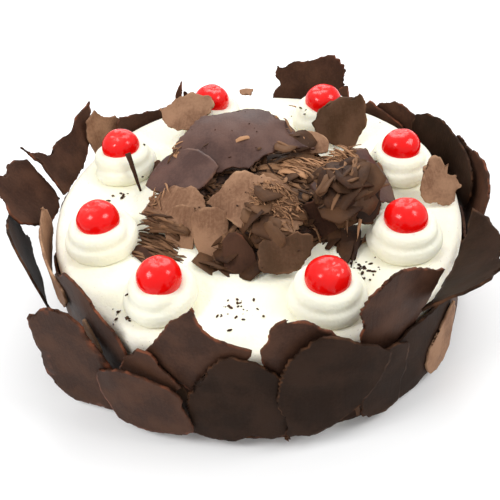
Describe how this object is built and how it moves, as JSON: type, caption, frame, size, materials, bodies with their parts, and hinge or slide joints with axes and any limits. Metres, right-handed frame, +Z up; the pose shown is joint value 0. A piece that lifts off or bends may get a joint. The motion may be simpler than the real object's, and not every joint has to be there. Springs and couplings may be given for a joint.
{
  "type": "black forest cake",
  "caption": "Round whole cream cake with a wall of dark chocolate shards, piped cream dollops topped with glazed cherries, and a heap of chocolate sheets and shavings in the middle.",
  "frame": {"origin": "centre of the cake's flat base, on the surface it rests on", "axes": "+Z up along the cake's axis; -Y is the side seen in front, +X its right"},
  "size_m": [0.24, 0.2183, 0.0865],
  "materials": {
    "cream": "whipped cream, smooth and soft, slightly warm white",
    "dark_chocolate": "dark chocolate, satin, with a fine scraped grain and paler broken edges",
    "light_chocolate": "dull scraped side of the chocolate, paler brown",
    "cherry": "glazed preserved cherry, bright red, wet gloss"
  },
  "bodies": {
    "root": {"cake_body": "cream", "cherry_back_left": "cherry", "cherry_back_right": "cherry", "cherry_front_left": "cherry", "cherry_front_right": "cherry", "cherry_left": "cherry", "cherry_left_back": "cherry", "cherry_right": "cherry", "cherry_right_back": "cherry", "dollop_back_left": "cream", "dollop_back_right": "cream", "dollop_front_left": "cream", "dollop_front_right": "cream", "dollop_left": "cream", "dollop_left_back": "cream", "dollop_right": "cream", "dollop_right_back": "cream", "shard_back_left_strip": "dark_chocolate", "shard_back_right_high": "dark_chocolate", "shard_back_right_low": "dark_chocolate", "shard_back_right_outer": "dark_chocolate", "shard_back_row_1": "dark_chocolate", "shard_back_row_2": "dark_chocolate", "shard_back_row_3": "dark_chocolate", "shard_back_row_4": "dark_chocolate", "shard_back_row_5": "dark_chocolate", "shard_back_row_6": "dark_chocolate", "shard_back_row_7": "dark_chocolate", "shard_back_row_8": "dark_chocolate", "shard_back_row_9": "dark_chocolate", "shard_front_left_crest": "dark_chocolate", "shard_front_left_low": "dark_chocolate", "shard_front_left_peak": "dark_chocolate", "shard_front_mid_inner": "dark_chocolate", "shard_front_middle": "dark_chocolate", "shard_front_right_big": "dark_chocolate", "shard_front_right_high": "dark_chocolate", "shard_front_right_low": "dark_chocolate", "shard_left_back_high": "dark_chocolate", "shard_left_back_low": "dark_chocolate", "shard_left_back_tan": "light_chocolate", "shard_left_flared": "dark_chocolate", "shard_left_outer": "dark_chocolate", "shard_left_rim_strip": "light_chocolate", "shard_left_tongue": "dark_chocolate", "shard_right_back_outer": "dark_chocolate", "shard_right_back_rim": "dark_chocolate", "shard_right_low": "dark_chocolate", "shard_right_low_tan": "light_chocolate", "shard_right_rim": "dark_chocolate", "shavings_heap": "dark_chocolate", "sheet_back_flat": "light_chocolate", "sheet_back_right_leaf": "dark_chocolate", "sheet_heap_back_big": "dark_chocolate", "sheet_heap_front": "light_chocolate", "sheet_heap_left": "light_chocolate", "sheet_heap_middle": "light_chocolate", "sheet_heap_right_curl": "dark_chocolate", "sheet_heap_right_dark": "dark_chocolate", "sheet_right_leaf": "light_chocolate"}
  },
  "joints": []
}
